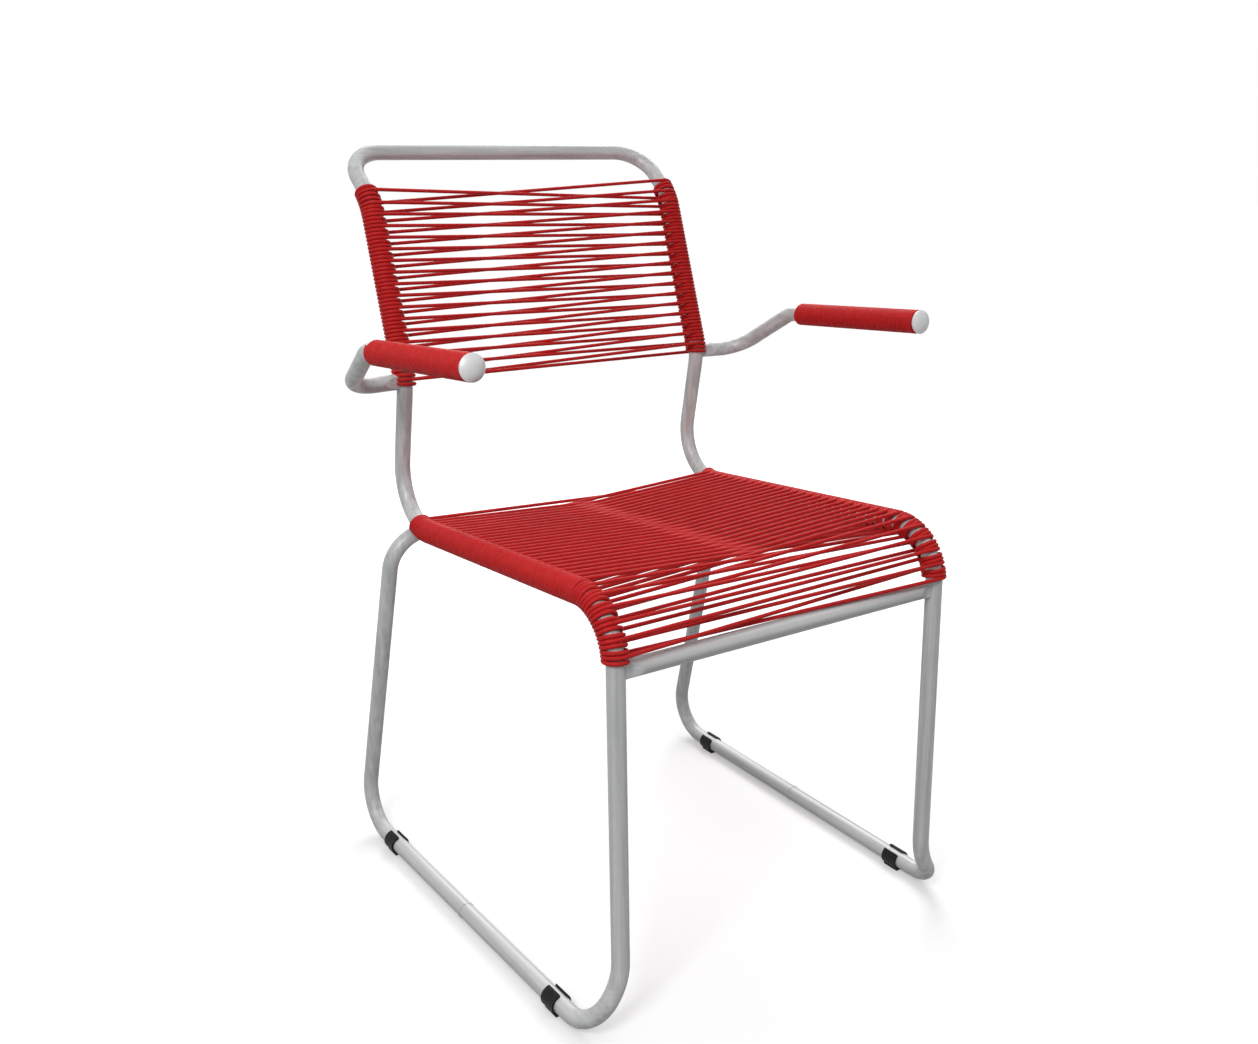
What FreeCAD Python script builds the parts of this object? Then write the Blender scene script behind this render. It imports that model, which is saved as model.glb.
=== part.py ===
import FreeCAD, Part
import math
import os

# Corded armchair: a welded frame of bent round tube, cord laced over the seat and the back,
# cord wound on the armrests, domed caps in the arm tubes and split glides under the floor runners.
# Millimetres, +Z up, the sitter faces -Y, +X is the chair's right half in a view from the front.
# Every side piece is built for +X and mirrored for -X.

Vector = FreeCAD.Vector

# Tube and cord stock
TUBE_D = 18.0
TUBE_WALL = 1.5
CORD_D = 4.3
CORD_SPACE = 0.08        # between neighbouring turns of the cord
CORD_FIT = 0.1           # gap between a wound cord and what it lies on
CORD_CLEAR = 0.3         # gap between a wound cord and a tube welded on beside it

# Floor runners and glides
GLIDE_SOLE = 3.0         # plastic under the runner
GLIDE_WALL = 2.4
GLIDE_LENGTH = 21.0
GLIDE_SLOT = 8.0
GLIDE_SLOT_TURN = 15.0   # degrees from straight up, toward -X
GLIDE_SOLE_WIDTH = 13.0
GLIDE_FRONT_Y = -213.0   # middle of each glide
GLIDE_REAR_Y = 153.0
RUNNER_SPREAD_FRONT = 31.8   # runner's axis outside the seat rail's
RUNNER_SPREAD_REAR = 40.6
FRONT_FOOT_Y = -275.5
REAR_FOOT_Y = 237.6
RUNNER_WELD_Y = -25.5
WELD_LENGTH = 2.6
WELD_RISE = 0.5

# Front legs and seat rails
SEAT_HALF_WIDTH = 203.7
LEG_FOOT_Y = -280.2
LEG_KICK_HEIGHT = 60.0
LEG_TOP_Y = -270.8
SEAT_FRONT_HEIGHT = 439.2
SEAT_REAR_HEIGHT = 407.9
RAIL_REAR_Y = 181.7
FOOT_BEND = 40.0
KICK_BEND = 70.0
SEAT_FRONT_BEND = 55.0
SEAT_REAR_BEND = 60.0

# Back frame
KINK_Y = 149.1
KINK_HEIGHT = 576.0
POST_TOP_Y = 217.5
TOP_SPREAD = 2.3         # top rail's corners outside the seat rails
TOP_Y = 280.1
TOP_HEIGHT = 822.3
CURL_DROP = 52.3         # the posts' upper corners below the top rail
KINK_BEND = 60.0
CURL_BEND = 70.0
TOP_BEND = 42.0

# Rear legs; the upper end turns inward under the back frame's lower bend
REAR_JOINT_Y = 138.0
REAR_JOINT_DROP = 16.6   # the end's axis below the back frame's
REAR_END_PAST = 6.0      # the end reaches past the back frame's axis
REAR_TOP_SPREAD = 31.4   # the upper corner outside the seat rail's axis
REAR_TOP_FORWARD = 2.5   # the upper corner ahead of the joint and below the end
REAR_TOP_DROP = 7.0
REAR_FOOT_BEND = 46.0
REAR_TOP_BEND = 41.0

# Front cross rail, its ends pressed flat
CROSS_DROP = 62.8        # below the corner of the seat rail and the front leg
CROSS_PRESS_LENGTH = 11.0
CROSS_TAB = 6.0          # flat length that shows before the leg
PRESSED_THICKNESS = 10.5

# Arms; spreads are outside the seat rails' axes, rises above the root
ARM_ROOT_HEIGHT = 577.0
ARM_OUT_SPREAD = 67.3
ARM_OUT_Y = 147.5
ARM_OUT_RISE = -1.0
ARM_RISE_SPREAD = 79.3
ARM_RISE_Y = 60.5
ARM_RISE_RISE = 51.0
ARM_END_SPREAD = 75.0
ARM_END_Y = -159.8
ARM_END_RISE = 63.9
ARM_OUT_BEND = 36.0
ARM_RISE_BEND = 34.0
ARM_PRESS_LENGTH = 16.0
ARM_TAB = 2.0
GRIP_LENGTH = 203.0
CAP_D = 26.0
CAP_RIM = 1.2
CAP_DOME = 5.0
CAP_SPIGOT = 16.0
CAP_FIT = 0.1            # gap between the cap's spigot and the tube's bore

# Lacing; distances along the tubes are counted from the lacing's rear end and from its top end
CORDS_PER_GROUP = 3      # two turns and one crossing strand
SEAT_FIRST_LEAVE = 11.5  # where the cord first leaves the left side's face
SEAT_CORD_ROOM = 5.4     # between the cross rail and the last place where it leaves that face
SEAT_SLANT = 7.9         # a strand from the left reaches the right side this much further back
BACK_CORD_DROP = 38.3    # the lacing's top end below the top rail
BACK_FIRST_LEAVE = 10.4
BACK_SLANT = -3.9        # a strand from the left reaches the right side this much further down
STRAND_D = 3.9           # a strand is pulled thinner than a turn
TURN_GAP = 0.45          # between neighbouring turns where they are modelled one by one
TURNS_SHOWN = 24         # most turns modelled one by one in a winding; the rest is a sleeve
TURNS_SHARE = 0.62       # of a winding's length, the most that has its turns modelled one by one

# Sizes that follow from the ones above
TUBE_R = TUBE_D / 2
BORE_R = TUBE_R - TUBE_WALL
RUNNER_HEIGHT = TUBE_R + GLIDE_SOLE
CORD_R = CORD_D / 2
WRAP_R = TUBE_R + CORD_FIT + CORD_R
WRAP_OUTER_R = WRAP_R + CORD_R
CORD_PITCH = CORD_D + CORD_SPACE
GROUP_LENGTH = CORDS_PER_GROUP * CORD_PITCH
HALF_TURN_LENGTH = CORD_PITCH / 2
WINDING_LENGTH = GROUP_LENGTH - HALF_TURN_LENGTH
TURN_PITCH = CORD_D + TURN_GAP
SEAT_TURN_PITCH = TURN_PITCH * SEAT_FRONT_BEND / (SEAT_FRONT_BEND - WRAP_R)
BACK_TURN_PITCH = TURN_PITCH * CURL_BEND / (CURL_BEND - WRAP_R)
POST_TOP_HEIGHT = TOP_HEIGHT - CURL_DROP
BACK_CORD_TOP_HEIGHT = TOP_HEIGHT - BACK_CORD_DROP
SEAT_CORD_REAR_Y = REAR_JOINT_Y - TUBE_R
CROSS_RAIL_HEIGHT = SEAT_FRONT_HEIGHT - CROSS_DROP


class TubePath:
    """Straight runs through corner points, joined by tangent arcs of the given radii."""

    def __init__(self, corners, radii):
        self.pieces = []
        here = corners[0]
        for before, corner, after, radius in zip(corners, corners[1:], corners[2:], radii):
            incoming = (corner - before).normalize()
            outgoing = (after - corner).normalize()
            turn = incoming.getAngle(outgoing)
            reach = radius * math.tan(turn / 2)
            arc_start = corner - incoming * reach
            arc_end = corner + outgoing * reach
            inward = (outgoing - incoming).normalize()
            centre = corner + inward * (radius / math.cos(turn / 2))
            self.pieces.append((here, arc_start, None, (arc_start - here).Length))
            self.pieces.append((arc_start, arc_end, centre, radius * turn))
            here = arc_end
        self.pieces.append((here, corners[-1], None, (corners[-1] - here).Length))
        self.length = sum(piece[3] for piece in self.pieces)

    def run_start(self, number):
        """Distance along the path to the start of one straight run, counted from 0."""
        return sum(piece[3] for piece in self.pieces[:2 * number])

    def run_end(self, number):
        """Distance along the path to the end of one straight run, counted from 0."""
        return self.run_start(number) + self.pieces[2 * number][3]

    def frame(self, distance):
        """Point and direction at a distance along the path."""
        for start, end, centre, length in self.pieces:
            if distance <= length or (start, end) == self.pieces[-1][:2]:
                break
            distance -= length
        if centre is None:
            direction = (end - start).normalize()
            return start + direction * distance, direction
        arm = start - centre
        radius = arm.Length
        across = end - centre
        across = (across - arm * (across.dot(arm) / arm.dot(arm))).normalize() * radius
        angle = distance / radius
        point = centre + arm * math.cos(angle) + across * math.sin(angle)
        direction = (across * math.cos(angle) - arm * math.sin(angle)).normalize()
        return point, direction

    def where(self, axis, value, low, high):
        """Distance along the path, between two limits, at which one coordinate has the value."""
        rising = self.frame(high)[0][axis] > self.frame(low)[0][axis]
        for _ in range(60):
            middle = (low + high) / 2
            if (self.frame(middle)[0][axis] < value) == rising:
                low = middle
            else:
                high = middle
        return low

    def wire(self, start, end):
        """The stretch of the path between two distances."""
        edges = []
        passed = 0.0
        for _, _, centre, length in self.pieces:
            low = max(start, passed)
            high = min(end, passed + length)
            if high - low > 0.001:
                first = self.frame(low)[0]
                last = self.frame(high)[0]
                if centre is None:
                    edges.append(Part.LineSegment(first, last).toShape())
                else:
                    edges.append(Part.Arc(first, self.frame((low + high) / 2)[0], last).toShape())
            passed += length
        return Part.Wire(edges)


def rod(path, start, end, radius):
    """Solid round bar along a stretch of a path."""
    point, direction = path.frame(start)
    circle = Part.Wire([Part.makeCircle(radius, point, direction)])
    return path.wire(start, end).makePipeShell([circle], True, False)


def tube(path, start, end, outer, inner):
    """Round tube along a stretch of a path, its volume compared with section times length."""
    shape = rod(path, start, end, outer).cut(rod(path, start, end, inner))
    expected = math.pi * (outer ** 2 - inner ** 2) * (end - start)
    if abs(shape.Volume / expected - 1) > 0.005:
        print("tube volume is off by a factor of", shape.Volume / expected)
    return shape.Solids[0]


def largest(shape):
    """The one solid that a cut leaves, without its loose slivers."""
    return max(shape.Solids, key=lambda solid: solid.Volume)


def mirrored(shape):
    """The same piece for the other side of the chair."""
    return shape.mirror(Vector(0, 0, 0), Vector(1, 0, 0))


def save(name, shapes):
    """Write one node; a group of loose solids goes in as a compound."""
    shape = shapes[0] if len(shapes) == 1 else Part.makeCompound(shapes)
    if not shape.isValid():
        print(name, "is not valid")
    shape.exportStep("parts/" + name + ".step")


def save_pair(name, shape):
    """Write a piece built for +X, and its mirror image for -X."""
    save(name + "_right", [shape])
    save(name + "_left", [mirrored(shape)])


os.makedirs("parts", exist_ok=True)
OUTWARD = Vector(1, 0, 0)


def runner_point(y):
    """Point on the runner's axis; the runners spread toward the back."""
    share = (y - FRONT_FOOT_Y) / (REAR_FOOT_Y - FRONT_FOOT_Y)
    spread = RUNNER_SPREAD_FRONT + share * (RUNNER_SPREAD_REAR - RUNNER_SPREAD_FRONT)
    return Vector(SEAT_HALF_WIDTH + spread, y, RUNNER_HEIGHT)


# Axis of the bent tubes of the +X side, from the runner's weld to the middle of the top rail
side_corners = [
    runner_point(RUNNER_WELD_Y),
    runner_point(FRONT_FOOT_Y),
    Vector(SEAT_HALF_WIDTH, LEG_FOOT_Y, LEG_KICK_HEIGHT),
    Vector(SEAT_HALF_WIDTH, LEG_TOP_Y, SEAT_FRONT_HEIGHT),
    Vector(SEAT_HALF_WIDTH, RAIL_REAR_Y, SEAT_REAR_HEIGHT),
    Vector(SEAT_HALF_WIDTH, KINK_Y, KINK_HEIGHT),
    Vector(SEAT_HALF_WIDTH, POST_TOP_Y, POST_TOP_HEIGHT),
    Vector(SEAT_HALF_WIDTH + TOP_SPREAD, TOP_Y, TOP_HEIGHT),
]
side_bends = [FOOT_BEND, KICK_BEND, SEAT_FRONT_BEND, SEAT_REAR_BEND, KINK_BEND, CURL_BEND, TOP_BEND]
side = TubePath(side_corners + [Vector(0, TOP_Y, TOP_HEIGHT)], side_bends)
_, _, leg_run, rail_run, upright_run, post_run, curl_run, _ = range(len(side_corners))
leg_start = side.run_start(leg_run)
rail_start = side.run_start(rail_run)
rail_joint = side.run_end(rail_run) - TUBE_D
upright_start = side.run_start(upright_run)
post_start = side.run_start(post_run)
curl_end = side.run_start(curl_run)

# Seat frames: floor runner's front half, front leg and seat rail, which ends in a butt joint under the cord
save_pair("seat_frame", tube(side, WELD_LENGTH / 2, rail_joint, TUBE_R, BORE_R))

# Back frame: from one seat rail's rear end up, over and down to the other
upper_corners = [side.frame(rail_joint)[0]] + side_corners[4:]
upper_bends = side_bends[3:]
across_corners = [Vector(-corner.x, corner.y, corner.z) for corner in reversed(upper_corners)]
back = TubePath(upper_corners + across_corners, upper_bends + upper_bends[::-1])
save("back_frame", [tube(back, 0, back.length, TUBE_R, BORE_R)])

# Rear legs: floor runner's rear half and the leaning leg, its end shaped to the back frame's lower bend
rear_joint = side.frame(side.where(1, REAR_JOINT_Y, rail_joint, upright_start))[0]
rear_end = rear_joint - Vector(REAR_END_PAST, 0, REAR_JOINT_DROP)
rear = TubePath([
    runner_point(RUNNER_WELD_Y),
    runner_point(REAR_FOOT_Y),
    Vector(SEAT_HALF_WIDTH + REAR_TOP_SPREAD, rear_end.y - REAR_TOP_FORWARD, rear_end.z - REAR_TOP_DROP),
    rear_end,
], [REAR_FOOT_BEND, REAR_TOP_BEND])
rear_leg = tube(rear, WELD_LENGTH / 2, rear.length, TUBE_R, BORE_R)
rear_leg = largest(rear_leg.cut(rod(back, 0, back.run_start(2), TUBE_R)))
save_pair("rear_leg", rear_leg)

# Rings of weld metal half way along the floor runners
weld_direction = side.frame(0)[1]
weld_start = runner_point(RUNNER_WELD_Y) - weld_direction * (WELD_LENGTH / 2)
weld = Part.makeCylinder(TUBE_R + WELD_RISE, WELD_LENGTH, weld_start, weld_direction)
weld = weld.cut(Part.makeCylinder(BORE_R, WELD_LENGTH, weld_start, weld_direction))
save_pair("runner_weld", largest(weld))


def pressed_end(path, start, length, tab):
    """Tube end pressed to a blade with flat faces front and back; it starts as a round section."""
    point, direction = path.frame(start)
    thin = (Vector(0, 1, 0) - direction * direction.y).normalize()
    tall = direction.cross(thin).normalize()
    half = PRESSED_THICKNESS / 2
    outline = [(0, TUBE_R), (length, half), (length + tab, half),
               (length + tab, -half), (length, -half), (0, -TUBE_R)]
    corners = [point + direction * along + thin * aside - tall * TUBE_R for along, aside in outline]
    wedge = Part.Face(Part.makePolygon(corners + corners[:1])).extrude(tall * TUBE_D)
    return wedge.common(Part.makeCylinder(TUBE_R, length + tab, point, direction))


# Front cross rail between the front legs
cross_distance = side.where(2, CROSS_RAIL_HEIGHT, leg_start, rail_start)
cross_point = side.frame(cross_distance)[0]
cross_middle = Vector(0, cross_point.y, cross_point.z)
cross = TubePath([cross_middle, cross_point], [])
press_start = cross.length - TUBE_R - CROSS_TAB - CROSS_PRESS_LENGTH
half_rail = tube(cross, 0, press_start, TUBE_R, BORE_R)
half_rail = half_rail.fuse(pressed_end(cross, press_start, CROSS_PRESS_LENGTH, CROSS_TAB + TUBE_R))
half_rail = largest(half_rail.cut(rod(side, leg_start, rail_start, TUBE_R)))
save("front_cross_rail", [largest(half_rail.fuse(mirrored(half_rail)).removeSplitter())])

# Arm tubes, pressed at the root and welded to the outside of the back frame
arm_distance = side.where(2, ARM_ROOT_HEIGHT, upright_start, post_start)
arm_root = side.frame(arm_distance)[0]
arm = TubePath([
    Vector(SEAT_HALF_WIDTH + ARM_END_SPREAD, ARM_END_Y, ARM_ROOT_HEIGHT + ARM_END_RISE),
    Vector(SEAT_HALF_WIDTH + ARM_RISE_SPREAD, ARM_RISE_Y, ARM_ROOT_HEIGHT + ARM_RISE_RISE),
    Vector(SEAT_HALF_WIDTH + ARM_OUT_SPREAD, ARM_OUT_Y, ARM_ROOT_HEIGHT + ARM_OUT_RISE),
    arm_root,
], [ARM_RISE_BEND, ARM_OUT_BEND])
press_start = arm.length - TUBE_R - ARM_TAB - ARM_PRESS_LENGTH
arm_tube = tube(arm, 0, press_start, TUBE_R, BORE_R)
arm_tube = arm_tube.fuse(pressed_end(arm, press_start, ARM_PRESS_LENGTH, ARM_TAB + TUBE_R))
arm_tube = largest(arm_tube.cut(rod(side, upright_start, curl_end, TUBE_R)).removeSplitter())
save_pair("arm_tube", arm_tube)

# Domed caps in the arm tubes' front ends
arm_end, arm_direction = arm.frame(0)
rim_r = CAP_D / 2
dome_r = (rim_r ** 2 + CAP_DOME ** 2) / (2 * CAP_DOME)
spigot_r = BORE_R - CAP_FIT
dome_middle = math.atan2(dome_r - CAP_DOME, rim_r) / 2 + math.pi / 4
dome_centre = CAP_RIM + CAP_DOME - dome_r
cap_edges = [
    Part.LineSegment(Vector(0, 0, -CAP_SPIGOT), Vector(spigot_r, 0, -CAP_SPIGOT)),
    Part.LineSegment(Vector(spigot_r, 0, -CAP_SPIGOT), Vector(spigot_r, 0, 0)),
    Part.LineSegment(Vector(spigot_r, 0, 0), Vector(rim_r, 0, 0)),
    Part.LineSegment(Vector(rim_r, 0, 0), Vector(rim_r, 0, CAP_RIM)),
    Part.Arc(Vector(rim_r, 0, CAP_RIM),
             Vector(dome_r * math.cos(dome_middle), 0, dome_centre + dome_r * math.sin(dome_middle)),
             Vector(0, 0, CAP_RIM + CAP_DOME)),
    Part.LineSegment(Vector(0, 0, CAP_RIM + CAP_DOME), Vector(0, 0, -CAP_SPIGOT)),
]
cap_profile = Part.Face(Part.Wire([edge.toShape() for edge in cap_edges]))
cap = cap_profile.revolve(Vector(0, 0, 0), Vector(0, 0, 1), 360)
cap.Placement = FreeCAD.Placement(arm_end, FreeCAD.Rotation(Vector(0, 0, 1), arm_direction * -1))
save_pair("arm_cap", cap)


def glide(middle_y):
    """Split plastic ring with a flat sole, clipped on the runner."""
    ring_r = TUBE_R + GLIDE_WALL
    body = Part.makeCylinder(ring_r, GLIDE_LENGTH)
    sole = Part.makeBox(GLIDE_SOLE_WIDTH, RUNNER_HEIGHT, GLIDE_LENGTH)
    sole.translate(Vector(-GLIDE_SOLE_WIDTH / 2, -RUNNER_HEIGHT, 0))
    slot = Part.makeBox(GLIDE_SLOT, 2 * ring_r, GLIDE_LENGTH)
    slot.translate(Vector(-GLIDE_SLOT / 2, 0, 0))
    slot.rotate(Vector(0, 0, 0), Vector(0, 0, 1), GLIDE_SLOT_TURN)
    body = body.fuse(sole).cut(Part.makeCylinder(TUBE_R, GLIDE_LENGTH)).cut(slot)
    body.translate(Vector(0, 0, -GLIDE_LENGTH / 2))
    ahead = runner_point(REAR_FOOT_Y) - runner_point(FRONT_FOOT_Y)
    body.rotate(Vector(0, 0, 0), Vector(1, 0, 0), 90)
    body.rotate(Vector(0, 0, 0), Vector(0, 0, 1), -math.degrees(math.atan2(ahead.x, ahead.y)))
    body.translate(runner_point(middle_y))
    return largest(body)


save_pair("glide_front", glide(GLIDE_FRONT_Y))
save_pair("glide_rear", glide(GLIDE_REAR_Y))


# Lacing. A cord leaves the face of one side's winding, crosses to the back of the other side's, makes two
# and a half turns there, leaves its face and crosses back: figures of eight, in groups of three cords.

def lacing_spot(distance, side_sign, facing):
    """Point on the cord's line on a winding: on its face for facing 1, on its back for facing -1."""
    centre, direction = side.frame(distance)
    face = OUTWARD.cross(direction).normalize()
    spot = centre + face * (facing * WRAP_R)
    return Vector(side_sign * spot.x, spot.y, spot.z)


def strand(start_distance, side_sign, end_distance):
    """Straight cord from one winding's face to the other's back, stopping where it leaves each of them."""
    first = lacing_spot(start_distance, side_sign, 1)
    last = lacing_spot(end_distance, -side_sign, -1)
    along = (last - first).normalize()
    clear = math.sqrt(WRAP_OUTER_R ** 2 - (WRAP_R - CORD_R) ** 2) + TURN_GAP
    return Part.makeCylinder(STRAND_D / 2, (last - first).Length - 2 * clear, first + along * clear, along)


def lacing(name, first_leave, last_leave, groups, slant, right_advance):
    """Strands from the left side and from the right. Each group lies further down the tubes than the last;
    right_advance is how far the right side's winding goes on between a strand's arrival and the next one."""
    from_left, from_right = [], []
    step = (last_leave - first_leave) / (groups - 1)
    for group in range(groups):
        leave = first_leave + group * step
        arrive = leave + slant
        from_left.append(strand(leave, -1, arrive))
        from_right.append(strand(arrive + right_advance, 1, leave - HALF_TURN_LENGTH))
    save(name + "_strands_from_left", from_left)
    save(name + "_strands_from_right", from_right)


# The seat's lacing fills the rails down to the front cross rail; both its windings go forward and down
seat_cord_rear = side.where(1, SEAT_CORD_REAR_Y, rail_start, upright_start)
seat_first_leave = seat_cord_rear - SEAT_FIRST_LEAVE
seat_last_leave = cross_distance + TUBE_R + SEAT_CORD_ROOM
seat_groups = int((seat_first_leave - seat_last_leave) / GROUP_LENGTH) + 1
lacing("seat", seat_first_leave, seat_last_leave, seat_groups, SEAT_SLANT, -WINDING_LENGTH)

# The back's lacing ends at the arm roots; the groups of its right winding go up
back_cord_top = side.where(2, BACK_CORD_TOP_HEIGHT, post_start, curl_end)
back_groups = round((back_cord_top - arm_distance) / GROUP_LENGTH)
back_first_leave = back_cord_top - BACK_FIRST_LEAVE
back_last_leave = back_first_leave - (back_groups - 1) * GROUP_LENGTH
lacing("back", back_first_leave, back_last_leave, back_groups, BACK_SLANT, WINDING_LENGTH)


# Windings. The turns that show most are made one by one, the others as a sleeve.

def arc_from(start, direction, end):
    """Circular arc that leaves one point in a direction and ends at another."""
    chord = end - start
    aside = chord - direction * chord.dot(direction)
    radius = chord.dot(chord) / (2 * aside.Length)
    centre = start + aside.normalize() * radius
    middle = centre + ((start + end) * 0.5 - centre).normalize() * radius
    return Part.Arc(start, middle, end).toShape()


def turns(path, start, end, pitch, name):
    """Cord wound on a path between two distances: one tube along pairs of arcs, a quarter turn each."""
    quarters = int(abs(end - start) / pitch * 4)
    advance = math.copysign(pitch / 4, end - start)

    def spot(quarter):
        centre, direction = path.frame(start + advance * quarter)
        face = OUTWARD.cross(direction).normalize()
        aside = direction.cross(face)
        angle = quarter * math.pi / 2
        return centre + (face * math.cos(angle) + aside * math.sin(angle)) * WRAP_R

    def heading(quarter):
        return (spot(quarter + 0.001) - spot(quarter - 0.001)).normalize()

    edges = [Part.LineSegment(spot(0) - heading(0) * CORD_D, spot(0)).toShape()]
    for quarter in range(quarters):
        first, last = spot(quarter), spot(quarter + 1)
        leaving, arriving = heading(quarter), heading(quarter + 1)
        across = last - first
        both = leaving + arriving
        spread = 2 * (1 - leaving.dot(arriving))
        reach = (math.sqrt(across.dot(both) ** 2 + spread * across.dot(across)) - across.dot(both)) / spread
        meet = (first + last + (leaving - arriving) * reach) * 0.5
        edges.append(arc_from(first, leaving, meet))
        edges.append(arc_from(last, arriving * -1, meet))
    edges.append(Part.LineSegment(spot(quarters), spot(quarters) + heading(quarters) * CORD_D).toShape())

    points = [spot(step / 4) for step in range(4 * quarters + 1)]
    least = min((points[i] - points[j]).Length
                for i in range(len(points)) for j in range(i + 8, min(i + 40, len(points))))
    print(name, "turns:", quarters / 4, "least gap:", round(least - CORD_D, 2), "mm")
    circle = Part.Wire([Part.makeCircle(CORD_R, spot(0) - heading(0) * CORD_D, heading(0))])
    return Part.Wire(edges).makePipeShell([circle], True, False)


def sleeve(path, start, end):
    """Plain sleeve of a winding's size on a path between two distances."""
    return tube(path, start, end, WRAP_OUTER_R, TUBE_R + CORD_FIT)


def turns_shown(length, pitch):
    """Number of turns that are modelled one by one in a winding of this length."""
    return min(TURNS_SHOWN, int(TURNS_SHARE * length / pitch))


end_room = CORD_R + TURN_GAP

seat_winding = sleeve(side, rail_start, seat_cord_rear).cut(rod(rear, 0, rear.length, TUBE_R + CORD_CLEAR))
save_pair("seat_winding_rail", largest(seat_winding))
seat_bend = turns(side, rail_start - end_room, seat_last_leave, SEAT_TURN_PITCH, "seat bend")
save_pair("seat_winding_bend", seat_bend)

back_turns = turns_shown(back_cord_top - back_last_leave, BACK_TURN_PITCH)
back_split = back_cord_top - back_turns * BACK_TURN_PITCH
back_winding = sleeve(side, back_last_leave, back_split - end_room)
back_winding = back_winding.cut(rod(arm, arm.run_start(2), arm.length, TUBE_R + CORD_CLEAR))
save_pair("back_winding_lower", largest(back_winding))
save_pair("back_winding_upper", turns(side, back_split, back_cord_top, BACK_TURN_PITCH, "back post"))

arm_split = end_room + turns_shown(GRIP_LENGTH, TURN_PITCH) * TURN_PITCH
save_pair("arm_winding_rear", sleeve(arm, arm_split + end_room, GRIP_LENGTH))
save_pair("arm_winding_front", turns(arm, end_room, arm_split, TURN_PITCH, "arm"))
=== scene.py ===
import math

import bpy
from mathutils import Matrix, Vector


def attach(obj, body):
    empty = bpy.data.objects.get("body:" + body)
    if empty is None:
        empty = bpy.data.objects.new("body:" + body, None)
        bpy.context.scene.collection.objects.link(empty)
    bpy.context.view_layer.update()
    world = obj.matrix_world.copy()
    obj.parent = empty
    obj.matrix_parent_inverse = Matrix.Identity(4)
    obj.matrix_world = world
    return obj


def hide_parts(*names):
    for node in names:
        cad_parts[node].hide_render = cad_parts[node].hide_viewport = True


# Looks of the corded armchair: the frame's tubes, caps and glides get their finishes, and the cord,
# laced over the seat and the back and wound on the armrests, is made as it runs, turn by turn.
# Sizes are in millimetres as in the part's source and become metres when a piece is made.

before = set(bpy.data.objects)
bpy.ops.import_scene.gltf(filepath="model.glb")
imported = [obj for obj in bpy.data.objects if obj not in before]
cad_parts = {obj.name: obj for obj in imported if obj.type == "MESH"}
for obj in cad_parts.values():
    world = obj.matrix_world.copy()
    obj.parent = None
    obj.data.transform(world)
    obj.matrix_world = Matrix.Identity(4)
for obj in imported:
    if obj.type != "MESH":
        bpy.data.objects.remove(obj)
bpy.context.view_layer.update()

MM = 0.001
OUTWARD = Vector((1, 0, 0))
ALONG_X, ALONG_Y, ALONG_Z = 0, 1, 2

# Tube and cord stock
TUBE_R = 9.0
CORD_D = 4.3
CORD_SPACE = 0.08          # between neighbouring turns
CORD_PITCH = CORD_D + CORD_SPACE
CORD_FIT = 0.1             # between the cord and the tube
CORD_R = CORD_D / 2
WRAP_R = TUBE_R + CORD_FIT + CORD_R
STRAND_SHARE = 0.93        # a crossing strand is pulled a little thinner than a turn
STRAND_POINTS = (0.06, 0.5, 0.94)  # shares of a strand's length between which it is thin

# Axis of the side tubes that carry the lacing, from the front leg's foot to the top rail
LEG_FOOT = Vector((203.7, -280.2, 60.0))
LEG_TOP = Vector((203.7, -270.8, 439.2))
RAIL_REAR = Vector((203.7, 181.7, 407.9))
KINK = Vector((203.7, 149.1, 576.0))
POST_TOP = Vector((203.7, 217.5, 770.0))
TOP_CORNER = Vector((206.0, 280.1, 822.3))
SIDE_BENDS = (55.0, 60.0, 60.0, 70.0)

# Axis of the arm tubes' grips
ARM_END = Vector((278.7, -159.8, 640.9))
ARM_RISE = Vector((283.0, 60.5, 628.0))
GRIP_LENGTH = 203.0

# Lacing: each side's winding makes two and a half turns between two crossing strands;
# distances along the tubes are counted from the lacing's rear end and from its top end
CORDS_PER_GROUP = 3
GROUP_LENGTH = CORDS_PER_GROUP * CORD_PITCH
TURNS_PER_GROUP = 2.5
WINDING_LENGTH = TURNS_PER_GROUP * CORD_PITCH
POINTS_PER_TURN = 20
FRONT_BEND = SIDE_BENDS[0]
BEND_DRAW = CORD_PITCH * (1 - FRONT_BEND / (FRONT_BEND + WRAP_R))  # brings two turns together on its face
LEFT_BEND_SHIFTS = (BEND_DRAW, -BEND_DRAW)  # of a group's first and second turn
RIGHT_BEND_SHIFTS = (-2 * BEND_DRAW, -BEND_DRAW)
SEAT_END_TURNS = 0.63      # from the last strand to the cord's end
BACK_END_TURNS = 1.15
SEAT_START_TURNS = 2       # before the first strand
BACK_START_TURNS = 1
SEAT_CORD_REAR_Y = 129.0
SEAT_GROUPS = 32
SEAT_FIRST_LEAVE = 11.5    # ahead of the lacing's rear end
SEAT_LAST_LEAVE = 423.3
SEAT_SLANT = 7.9           # a strand from the left reaches the right side this much further back
BACK_CORD_TOP_HEIGHT = 784.0
BACK_GROUPS = 17
BACK_FIRST_LEAVE = 10.4    # below the lacing's top end
BACK_SLANT = -3.9
BACK_SECOND_GROUP_DROP = 1.4

SEARCH_STEPS = 60          # halvings when a place on a path is looked for


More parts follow.
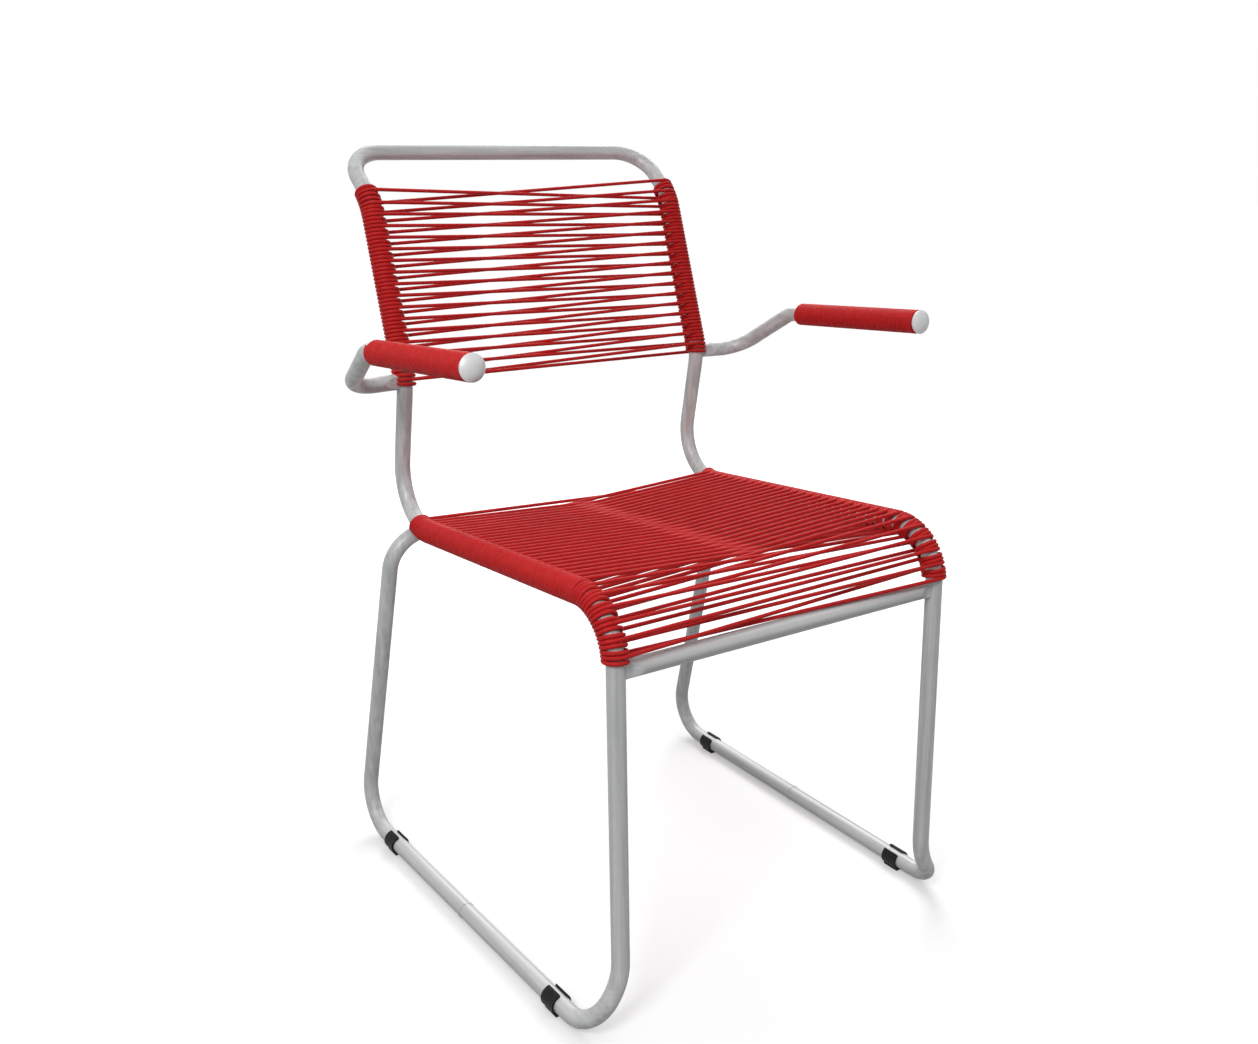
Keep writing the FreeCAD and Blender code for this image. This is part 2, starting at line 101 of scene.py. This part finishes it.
class TubePath:
    """Straight runs through corner points, joined by tangent arcs of the given radii."""

    def __init__(self, corners, radii):
        self.pieces = []
        here = corners[0]
        for before, corner, after, radius in zip(corners, corners[1:], corners[2:], radii):
            incoming = (corner - before).normalized()
            outgoing = (after - corner).normalized()
            turn = incoming.angle(outgoing)
            reach = radius * math.tan(turn / 2)
            arc_start = corner - incoming * reach
            arc_end = corner + outgoing * reach
            centre = corner + (outgoing - incoming).normalized() * (radius / math.cos(turn / 2))
            self.pieces.append((here, arc_start, None, (arc_start - here).length))
            self.pieces.append((arc_start, arc_end, centre, radius * turn))
            here = arc_end
        self.pieces.append((here, corners[-1], None, (corners[-1] - here).length))

    def run_start(self, number):
        """Distance along the path to the start of one straight run, counted from 0."""
        return sum(piece[3] for piece in self.pieces[:2 * number])

    def frame(self, distance):
        """Point and direction at a distance along the path."""
        for start, end, centre, length in self.pieces[:-1]:
            if distance <= length:
                break
            distance -= length
        else:
            start, end, centre, length = self.pieces[-1]
        if centre is None:
            direction = (end - start).normalized()
            return start + direction * distance, direction
        arm = start - centre
        radius = arm.length
        across = end - centre
        across = (across - arm * (across.dot(arm) / arm.dot(arm))).normalized() * radius
        angle = distance / radius
        point = centre + arm * math.cos(angle) + across * math.sin(angle)
        return point, (across * math.cos(angle) - arm * math.sin(angle)).normalized()

    def where(self, axis, value, low, high):
        """Distance along the path, between two limits, at which one coordinate has the value."""
        rising = self.frame(high)[0][axis] > self.frame(low)[0][axis]
        for _ in range(SEARCH_STEPS):
            middle = (low + high) / 2
            if (self.frame(middle)[0][axis] < value) == rising:
                low = middle
            else:
                high = middle
        return low


side = TubePath([LEG_FOOT, LEG_TOP, RAIL_REAR, KINK, POST_TOP, TOP_CORNER], SIDE_BENDS)
rail_start = side.run_start(1)
upright_start = side.run_start(2)
post_start = side.run_start(3)
curl_end = side.run_start(4)
seat_rear = side.where(ALONG_Y, SEAT_CORD_REAR_Y, rail_start, upright_start)
back_top = side.where(ALONG_Z, BACK_CORD_TOP_HEIGHT, post_start, curl_end)
grip = TubePath([ARM_END, ARM_RISE], ())


def wrap_spot(path, distance, angle, side_sign):
    """Point of a cord's line on a winding.
    The angle goes from the back, 0, by the outside to the face, 180."""
    centre, direction = path.frame(distance)
    face = OUTWARD.cross(direction).normalized()
    outer = direction.cross(face)
    turn = math.radians(angle)
    spot = centre + (outer * math.sin(turn) - face * math.cos(turn)) * WRAP_R
    return Vector((side_sign * spot.x, spot.y, spot.z))


def winding(path, start, end, first_angle, last_angle, side_sign, face_shifts=()):
    """Points of a cord that winds from one distance and angle to another.
    face_shifts moves each turn along the path where it crosses the face, and not at the back."""
    steps = max(2, round(abs(last_angle - first_angle) / 360 * POINTS_PER_TURN))
    points = []
    for step in range(steps + 1):
        share = step / steps
        distance = start + (end - start) * share
        angle = first_angle + (last_angle - first_angle) * share
        turn = math.floor(angle / 360)
        if 0 <= turn < len(face_shifts):
            distance += face_shifts[turn] * max(0.0, -math.cos(math.radians(angle)))
        points.append(wrap_spot(path, distance, angle, side_sign))
    return points


# The angle by which a strand's slope from face to back turns the spot where it leaves a winding
STRAND_TILT = math.degrees(math.atan2(2 * WRAP_R, 2 * LEG_TOP.x))
BACK_ANGLE = -STRAND_TILT


def group_winding(start, end, side_sign):
    """Points of the winding between two strands. Round the outside of a front bend its turns
    are drawn together, so that the tube shows between the groups."""
    shifts = ()
    if start < rail_start:
        shifts = LEFT_BEND_SHIFTS if side_sign < 0 else RIGHT_BEND_SHIFTS
    return winding(side, start, end, BACK_ANGLE, 360 * TURNS_PER_GROUP + STRAND_TILT, side_sign, shifts)


def lacing(leaves, slant, right_advance, start_turns, end_turns):
    """One cord laced in figures of eight. leaves: distances at which it leaves the left side's face.
    start_turns are whole turns on the left side before the first strand; end_turns follow the last strand
    there, whole or not.
    Returns the windings' points; the strands lie between one winding's end and the next one's start."""
    first = leaves[0]
    first_turns = start_turns + 0.5
    runs = [winding(side, first + first_turns * CORD_PITCH, first, 0, 360 * first_turns + STRAND_TILT, -1)]
    for number, leave in enumerate(leaves):
        arrive = leave + slant
        answer = arrive + right_advance
        home = leave - CORD_PITCH / 2
        runs.append(group_winding(arrive, answer, 1))
        if number + 1 < len(leaves):
            runs.append(group_winding(home, leaves[number + 1], -1))
    runs.append(winding(side, home, home - end_turns * CORD_PITCH, BACK_ANGLE, 360 * end_turns, -1))
    return runs


def cord_object(name, runs):
    """A round cord through runs of points, one after the other.
    It is thinner along the strands between them."""
    curve = bpy.data.curves.new(name, "CURVE")
    curve.dimensions = "3D"
    curve.bevel_depth = CORD_R * MM
    curve.bevel_resolution = 4
    curve.use_fill_caps = True
    spots = []
    for points in runs:
        if spots:
            last, first = spots[-1][0], points[0]
            for share in STRAND_POINTS:
                spots.append((last.lerp(first, share), STRAND_SHARE))
        spots.extend((point, 1.0) for point in points)
    spline = curve.splines.new("POLY")
    spline.points.add(len(spots) - 1)
    for target, (point, thickness) in zip(spline.points, spots):
        target.co = (point.x * MM, point.y * MM, point.z * MM, 1)
        target.radius = thickness
    piece = bpy.data.objects.new(name, curve)
    bpy.context.scene.collection.objects.link(piece)
    return piece


# Materials; noise scales are features per metre
NOISE_ROUGHNESS = 0.55
NOISE_LOW = 0.3            # most of a noise's values lie between these
NOISE_HIGH = 0.7
STREAK_SCALE = 170
CLOUD_SCALE = 75
CRYSTAL_SCALE = 160
STREAK_MIX = 0.6           # shares of the streaks and the crystals in a tube's colour
CRYSTAL_MIX = 0.1
LONG_DRAW = 0.015          # streaks of straight tubes; larger is shorter
POST_DRAW = 0.05
ARM_DRAW = 0.25
FOOT_TURN_FROM = 0.07      # heights in metres between which streaks turn at the foot and at the top
FOOT_TURN_TO = 0.03
TOP_TURN_FROM = 0.77
TOP_TURN_TO = 0.81


def material(name):
    """A new node material, its tree, its Principled shader and object coordinates in metres."""
    made = bpy.data.materials.new(name)
    made.use_nodes = True
    tree = made.node_tree
    shader = tree.nodes["Principled BSDF"]
    place = tree.nodes.new("ShaderNodeTexCoord").outputs["Object"]
    return made, tree, shader, place


def noise(tree, place, scale, detail=4.0, stretch=(1, 1, 1)):
    """A noise texture's value, at features per metre, stretched along the axes given less than 1."""
    mapping = tree.nodes.new("ShaderNodeMapping")
    mapping.inputs["Scale"].default_value = stretch
    tree.links.new(place, mapping.inputs["Vector"])
    texture = tree.nodes.new("ShaderNodeTexNoise")
    texture.inputs["Scale"].default_value = scale
    texture.inputs["Detail"].default_value = detail
    texture.inputs["Roughness"].default_value = NOISE_ROUGHNESS
    tree.links.new(mapping.outputs["Vector"], texture.inputs["Vector"])
    return texture.outputs["Fac"]


def ramp(tree, value, stops):
    """Colours along a value: pairs of position and linear colour."""
    node = tree.nodes.new("ShaderNodeValToRGB")
    elements = node.color_ramp.elements
    while len(elements) < len(stops):
        elements.new(0.5)
    for element, (position, colour) in zip(elements, stops):
        element.position = position
        element.color = (*colour, 1)
    tree.links.new(value, node.inputs["Fac"])
    return node.outputs["Color"]


def spread(tree, value, low, high):
    """The middle of a noise's range, spread to new limits."""
    node = tree.nodes.new("ShaderNodeMapRange")
    node.inputs["From Min"].default_value = NOISE_LOW
    node.inputs["From Max"].default_value = NOISE_HIGH
    node.inputs["To Min"].default_value = low
    node.inputs["To Max"].default_value = high
    tree.links.new(value, node.inputs["Value"])
    return node.outputs["Result"]


def mixed(tree, share, first, second):
    """Two colours mixed by a value or by a fixed share."""
    node = tree.nodes.new("ShaderNodeMix")
    node.data_type = "RGBA"
    if isinstance(share, float):
        node.inputs[0].default_value = share
    else:
        tree.links.new(share, node.inputs[0])
    tree.links.new(first, node.inputs[6])
    tree.links.new(second, node.inputs[7])
    return node.outputs[2]


def bump(tree, shader, height, strength, depth):
    """Surface relief from a height value, its depth in metres."""
    node = tree.nodes.new("ShaderNodeBump")
    node.inputs["Strength"].default_value = strength
    node.inputs["Distance"].default_value = depth
    tree.links.new(height, node.inputs["Height"])
    tree.links.new(node.outputs["Normal"], shader.inputs["Normal"])


def drawn_streaks(tree, place, run, draw):
    """Noise drawn out along one axis, as the drawing of a tube leaves it; less so for a larger draw."""
    stretch = tuple(draw if axis == run else 1 for axis in (ALONG_X, ALONG_Y, ALONG_Z))
    return noise(tree, place, STREAK_SCALE, stretch=stretch)


def turning_streaks(tree, place, draw, run, end_run, end_from, end_to):
    """Streaks that turn, between two heights, from one axis to that of the tube's end run."""
    split = tree.nodes.new("ShaderNodeSeparateXYZ")
    tree.links.new(place, split.inputs["Vector"])
    turned = tree.nodes.new("ShaderNodeMapRange")
    turned.inputs["From Min"].default_value = end_from
    turned.inputs["From Max"].default_value = end_to
    tree.links.new(split.outputs["Z"], turned.inputs["Value"])
    both = tree.nodes.new("ShaderNodeMix")
    tree.links.new(turned.outputs["Result"], both.inputs["Factor"])
    tree.links.new(drawn_streaks(tree, place, run, draw), both.inputs["A"])
    tree.links.new(drawn_streaks(tree, place, end_run, draw), both.inputs["B"])
    return both.outputs["Result"]


def galvanised(name, draw, run, end_run=None, end_from=0.0, end_to=1.0):
    """Zinc-coated drawn tube, satin: clouds, crystals, and drawing streaks along the run.
    Where the tube has an end run along another axis, the streaks turn to it between two heights."""
    made, tree, shader, place = material(name)
    if end_run is None:
        streaks = drawn_streaks(tree, place, run, draw)
    else:
        streaks = turning_streaks(tree, place, draw, run, end_run, end_from, end_to)
    clouds = noise(tree, place, CLOUD_SCALE, 5.0)
    crystals = tree.nodes.new("ShaderNodeTexVoronoi")
    crystals.inputs["Scale"].default_value = CRYSTAL_SCALE
    tree.links.new(place, crystals.inputs["Vector"])
    base = ramp(tree, clouds, ((0.3, (0.58, 0.586, 0.592)), (0.7, (0.67, 0.676, 0.682))))
    lines = ramp(tree, streaks, ((0.32, (0.42, 0.426, 0.432)), (0.68, (0.83, 0.836, 0.842))))
    cells = crystals.outputs["Color"]
    flakes = ramp(tree, cells, ((0.0, (0.57, 0.576, 0.582)), (1.0, (0.68, 0.686, 0.692))))
    colour = mixed(tree, STREAK_MIX, base, lines)
    colour = mixed(tree, CRYSTAL_MIX, colour, flakes)
    tree.links.new(colour, shader.inputs["Base Color"])
    shader.inputs["Metallic"].default_value = 0.12
    shader.inputs["Specular IOR Level"].default_value = 0.12
    tree.links.new(spread(tree, clouds, 0.38, 0.46), shader.inputs["Roughness"])
    bump(tree, shader, streaks, 0.05, 0.0003)
    return made


def red_cord():
    """Extruded soft plastic cord, satin, with a faint change of tint and a fine grain."""
    made, tree, shader, place = material("red_cord_pvc")
    tint = noise(tree, place, 90, 4.0)
    grain = noise(tree, place, 1400, 2.0)
    colour = ramp(tree, tint, ((0.25, (0.56, 0.017, 0.018)), (0.75, (0.66, 0.025, 0.026))))
    tree.links.new(colour, shader.inputs["Base Color"])
    tree.links.new(spread(tree, grain, 0.44, 0.56), shader.inputs["Roughness"])
    shader.inputs["Specular IOR Level"].default_value = 0.12
    bump(tree, shader, grain, 0.10, 0.0002)
    return made


def black_plastic():
    """Moulded plastic, near black, with a fine spark-eroded grain and rubbed patches."""
    made, tree, shader, place = material("black_glide_plastic")
    wear = noise(tree, place, 120, 4.0)
    grain = noise(tree, place, 2200, 2.0)
    colour = ramp(tree, wear, ((0.3, (0.008, 0.008, 0.0085)), (0.75, (0.020, 0.020, 0.021))))
    tree.links.new(colour, shader.inputs["Base Color"])
    tree.links.new(spread(tree, grain, 0.45, 0.62), shader.inputs["Roughness"])
    shader.inputs["Specular IOR Level"].default_value = 0.15
    bump(tree, shader, grain, 0.25, 0.0003)
    return made


def cap_metal():
    """Pressed metal cap, satin silver."""
    made, tree, shader, place = material("satin_cap_metal")
    clouds = noise(tree, place, 140, 4.0)
    grain = noise(tree, place, 1800, 2.0)
    colour = ramp(tree, clouds, ((0.3, (0.82, 0.825, 0.83)), (0.7, (0.91, 0.915, 0.92))))
    tree.links.new(colour, shader.inputs["Base Color"])
    shader.inputs["Metallic"].default_value = 0.15
    shader.inputs["Specular IOR Level"].default_value = 0.2
    tree.links.new(spread(tree, grain, 0.3, 0.42), shader.inputs["Roughness"])
    bump(tree, shader, grain, 0.08, 0.0002)
    return made


def dress(node, finish):
    """Give a CAD node one finish."""
    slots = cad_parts[node].data.materials
    slots.clear()
    slots.append(finish)


leg_tube = galvanised("galvanised_leg", LONG_DRAW, ALONG_Z, ALONG_Y, FOOT_TURN_FROM, FOOT_TURN_TO)
back_tube = galvanised("galvanised_back", POST_DRAW, ALONG_Z, ALONG_X, TOP_TURN_FROM, TOP_TURN_TO)
cross_tube = galvanised("galvanised_cross", LONG_DRAW, ALONG_X)
arm_tube = galvanised("galvanised_arm", ARM_DRAW, ALONG_Y)
cord_finish = red_cord()
glide_finish = black_plastic()
cap_finish = cap_metal()

FINISHES = {
    "seat_frame": leg_tube,
    "rear_leg": leg_tube,
    "runner_weld": leg_tube,
    "arm_tube": arm_tube,
    "arm_cap": cap_finish,
    "glide_front": glide_finish,
    "glide_rear": glide_finish,
}
for piece, finish in FINISHES.items():
    dress(piece + "_left", finish)
    dress(piece + "_right", finish)
dress("back_frame", back_tube)
dress("front_cross_rail", cross_tube)


def finish_cord(piece, *nodes):
    """Colour a cord, fix it to the chair and let it stand for its CAD nodes."""
    piece.data.materials.append(cord_finish)
    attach(piece, "root")
    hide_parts(*nodes)


def both_sides(*names):
    """The left and right nodes of the given pieces."""
    return [name + end for name in names for end in ("_left", "_right")]


# Seat cord: both windings advance forward and down the front legs
seat_step = (SEAT_LAST_LEAVE - SEAT_FIRST_LEAVE) / (SEAT_GROUPS - 1)
seat_leaves = [seat_rear - SEAT_FIRST_LEAVE - group * seat_step for group in range(SEAT_GROUPS)]
seat_cord = cord_object("seat_cord", lacing(seat_leaves, SEAT_SLANT, -WINDING_LENGTH,
                                            SEAT_START_TURNS, SEAT_END_TURNS))
finish_cord(seat_cord, "seat_strands_from_left", "seat_strands_from_right",
            *both_sides("seat_winding_rail", "seat_winding_bend"))

# Back cord: the left winding goes down, and each group of the right one goes up
back_leaves = [back_top - BACK_FIRST_LEAVE - group * GROUP_LENGTH for group in range(BACK_GROUPS)]
back_leaves[1] -= BACK_SECOND_GROUP_DROP
back_cord = cord_object("back_cord", lacing(back_leaves, BACK_SLANT, WINDING_LENGTH,
                                            BACK_START_TURNS, BACK_END_TURNS))
finish_cord(back_cord, "back_strands_from_left", "back_strands_from_right",
            *both_sides("back_winding_upper", "back_winding_lower"))

# Arm windings
GRIP_TURNS = (GRIP_LENGTH - CORD_D) / CORD_PITCH
for side_sign, end in ((-1, "left"), (1, "right")):
    points = winding(grip, CORD_R, GRIP_LENGTH - CORD_R, 0, 360 * GRIP_TURNS, side_sign)
    arm_cord = cord_object("arm_cord_" + end, [points])
    finish_cord(arm_cord, "arm_winding_front_" + end, "arm_winding_rear_" + end)


# Studio, in metres and watts
SKY_AIM = (-0.05, 0.0, 1.0)    # where the sky is brightest
SKY_FOCUS = 2
SKY_LOW = 0.12
SKY_HIGH = 0.9
FLOOR_SIZE = 40
FLOOR_PALE = 0.86          # the floor as it is seen
FLOOR_DULL = 0.2           # the floor for the light that it throws back
GLOW_NEAR = 0.29
GLOW_FAR = 0.58
GLOW_START = 0.5           # from the chair's middle
GLOW_END = 2.0
KEY_PLACE = (1.2, 1.7, 2.0)
KEY_TARGET = (0, 0, 0.4)
KEY_SIZE = 1.5
KEY_POWER = 36
FILL_PLACE = (-1.55, -1.22, 1.83)
FILL_TARGET = (0, 0, 0.45)
FILL_SIZE = 0.7
FILL_POWER = 22
CAMERA_PLACE = (-0.7809, -1.1387, 0.8193)
CAMERA_DOWN = 16.08        # degrees below level
CAMERA_TURN = -34.14       # degrees from looking along +Y


def ray_is_direct(tree):
    """1 for rays from the camera, a mirror-like surface or through glass, otherwise 0."""
    path = tree.nodes.new("ShaderNodeLightPath")
    first = tree.nodes.new("ShaderNodeMath")
    first.operation = "MAXIMUM"
    tree.links.new(path.outputs["Is Camera Ray"], first.inputs[0])
    tree.links.new(path.outputs["Is Glossy Ray"], first.inputs[1])
    second = tree.nodes.new("ShaderNodeMath")
    second.operation = "MAXIMUM"
    tree.links.new(first.outputs[0], second.inputs[0])
    tree.links.new(path.outputs["Is Transmission Ray"], second.inputs[1])
    return second.outputs[0]


def studio_world():
    """White for direct rays; for the rest, soft light that is strongest from above."""
    world = bpy.data.worlds.new("studio")
    bpy.context.scene.world = world
    world.use_nodes = True
    tree = world.node_tree
    place = tree.nodes.new("ShaderNodeTexCoord").outputs["Generated"]
    aim = tree.nodes.new("ShaderNodeVectorMath")
    aim.operation = "DOT_PRODUCT"
    aim.inputs[1].default_value = Vector(SKY_AIM).normalized()
    tree.links.new(place, aim.inputs[0])
    lit = tree.nodes.new("ShaderNodeClamp")
    tree.links.new(aim.outputs["Value"], lit.inputs["Value"])
    focus = tree.nodes.new("ShaderNodeMath")
    focus.operation = "POWER"
    focus.inputs[1].default_value = SKY_FOCUS
    tree.links.new(lit.outputs["Result"], focus.inputs[0])
    sky = tree.nodes.new("ShaderNodeMapRange")
    sky.inputs["To Min"].default_value = SKY_LOW
    sky.inputs["To Max"].default_value = SKY_HIGH
    tree.links.new(focus.outputs["Value"], sky.inputs["Value"])
    level = tree.nodes.new("ShaderNodeMix")
    level.inputs["B"].default_value = 1.0
    tree.links.new(ray_is_direct(tree), level.inputs["Factor"])
    tree.links.new(sky.outputs["Result"], level.inputs["A"])
    background = tree.nodes["Background"]
    background.inputs["Color"].default_value = (1, 1, 1, 1)
    tree.links.new(level.outputs["Result"], background.inputs["Strength"])


def studio_floor():
    """Pale floor that keeps the shadows and throws little light up under the chair.
    For direct rays it glows a little, more so far from the chair, so that it ends in white."""
    bpy.ops.mesh.primitive_plane_add(size=FLOOR_SIZE)
    floor = bpy.context.object
    floor.name = "floor"
    made, tree, shader, place = material("studio_floor")
    pale = tree.nodes.new("ShaderNodeRGB")
    pale.outputs[0].default_value = (FLOOR_PALE, FLOOR_PALE, FLOOR_PALE, 1)
    dull = tree.nodes.new("ShaderNodeRGB")
    dull.outputs[0].default_value = (FLOOR_DULL, FLOOR_DULL, FLOOR_DULL, 1)
    direct = ray_is_direct(tree)
    tree.links.new(mixed(tree, direct, dull.outputs[0], pale.outputs[0]), shader.inputs["Base Color"])
    shader.inputs["Roughness"].default_value = 1.0
    shader.inputs["Specular IOR Level"].default_value = 0.0
    shader.inputs["Emission Color"].default_value = (1, 1, 1, 1)
    distance = tree.nodes.new("ShaderNodeVectorMath")
    distance.operation = "LENGTH"
    tree.links.new(place, distance.inputs[0])
    rise = tree.nodes.new("ShaderNodeMapRange")
    rise.inputs["From Min"].default_value = GLOW_START
    rise.inputs["From Max"].default_value = GLOW_END
    rise.inputs["To Min"].default_value = GLOW_NEAR
    rise.inputs["To Max"].default_value = GLOW_FAR
    tree.links.new(distance.outputs["Value"], rise.inputs["Value"])
    glow = tree.nodes.new("ShaderNodeMath")
    glow.operation = "MULTIPLY"
    tree.links.new(direct, glow.inputs[0])
    tree.links.new(rise.outputs["Result"], glow.inputs[1])
    tree.links.new(glow.outputs[0], shader.inputs["Emission Strength"])
    floor.data.materials.append(made)


def lamp(name, place, target, size, power):
    """A square soft lamp, aimed at a point."""
    light = bpy.data.lights.new(name, "AREA")
    light.shape = "RECTANGLE"
    light.size = size
    light.size_y = size
    light.energy = power
    holder = bpy.data.objects.new(name, light)
    holder.location = place
    holder.rotation_euler = (Vector(target) - Vector(place)).to_track_quat("-Z", "Y").to_euler()
    bpy.context.scene.collection.objects.link(holder)


def photo_camera():
    """Camera at the photograph's place and angle."""
    camera = bpy.data.cameras.new("camera")
    camera.sensor_fit = "HORIZONTAL"
    camera.sensor_width = 36.0
    camera.lens = 36.05
    camera.shift_x = 0.0030
    camera.shift_y = -0.0032
    holder = bpy.data.objects.new("camera", camera)
    holder.location = CAMERA_PLACE
    holder.rotation_euler = (math.radians(90 - CAMERA_DOWN), 0, math.radians(CAMERA_TURN))
    bpy.context.scene.collection.objects.link(holder)
    bpy.context.scene.camera = holder


studio_world()
studio_floor()
lamp("key_soft_box", KEY_PLACE, KEY_TARGET, KEY_SIZE, KEY_POWER)
lamp("soft_left", FILL_PLACE, FILL_TARGET, FILL_SIZE, FILL_POWER)
photo_camera()
bpy.context.scene.view_settings.view_transform = "Standard"
